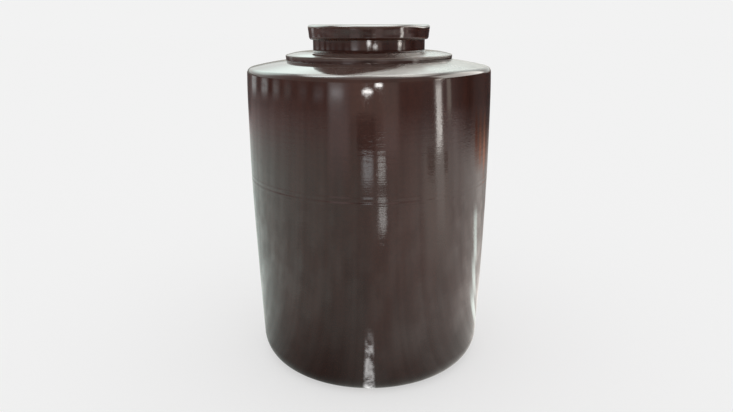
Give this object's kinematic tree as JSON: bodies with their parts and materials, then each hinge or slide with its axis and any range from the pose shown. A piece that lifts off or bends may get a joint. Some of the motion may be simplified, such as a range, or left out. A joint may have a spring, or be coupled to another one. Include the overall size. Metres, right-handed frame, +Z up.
{
  "type": "ceramic crock fermenter",
  "caption": "Tall glazed stoneware fermenting jar with a stepped shoulder, narrow neck, cap lid on a sealing ring, and half-moon pressing weights inside.",
  "frame": {"origin": "centre of the ring that the jar stands on, on the floor", "axes": "+Z up along the axis the jar was thrown about; the two weights part along the YZ plane, left at -X and right at +X"},
  "size_m": [0.683, 0.683, 0.95],
  "materials": {
    "jar_glaze": "polished",
    "lid_glaze": "polished",
    "seal_silicone": "satin",
    "weight_glaze": "gloss"
  },
  "bodies": {
    "jar": {"crock_body": "jar_glaze"},
    "lid_set": {"lid": "lid_glaze", "lid_seal_ring": "seal_silicone"},
    "left_weight": {"weight_left": "weight_glaze"},
    "right_weight": {"weight_right": "weight_glaze"}
  },
  "joints": [
    {"name": "lid_lift", "type": "slide", "parent": "jar", "child": "lid_set", "axis": [0, 0, 1], "range_m": [0, 0.2]},
    {"name": "weight_left_rise", "type": "slide", "parent": "jar", "child": "left_weight", "axis": [0, 0, 1], "range_m": [0, 0.7]},
    {"name": "weight_right_rise", "type": "slide", "parent": "jar", "child": "right_weight", "axis": [0, 0, 1], "range_m": [0, 0.7]}
  ]
}
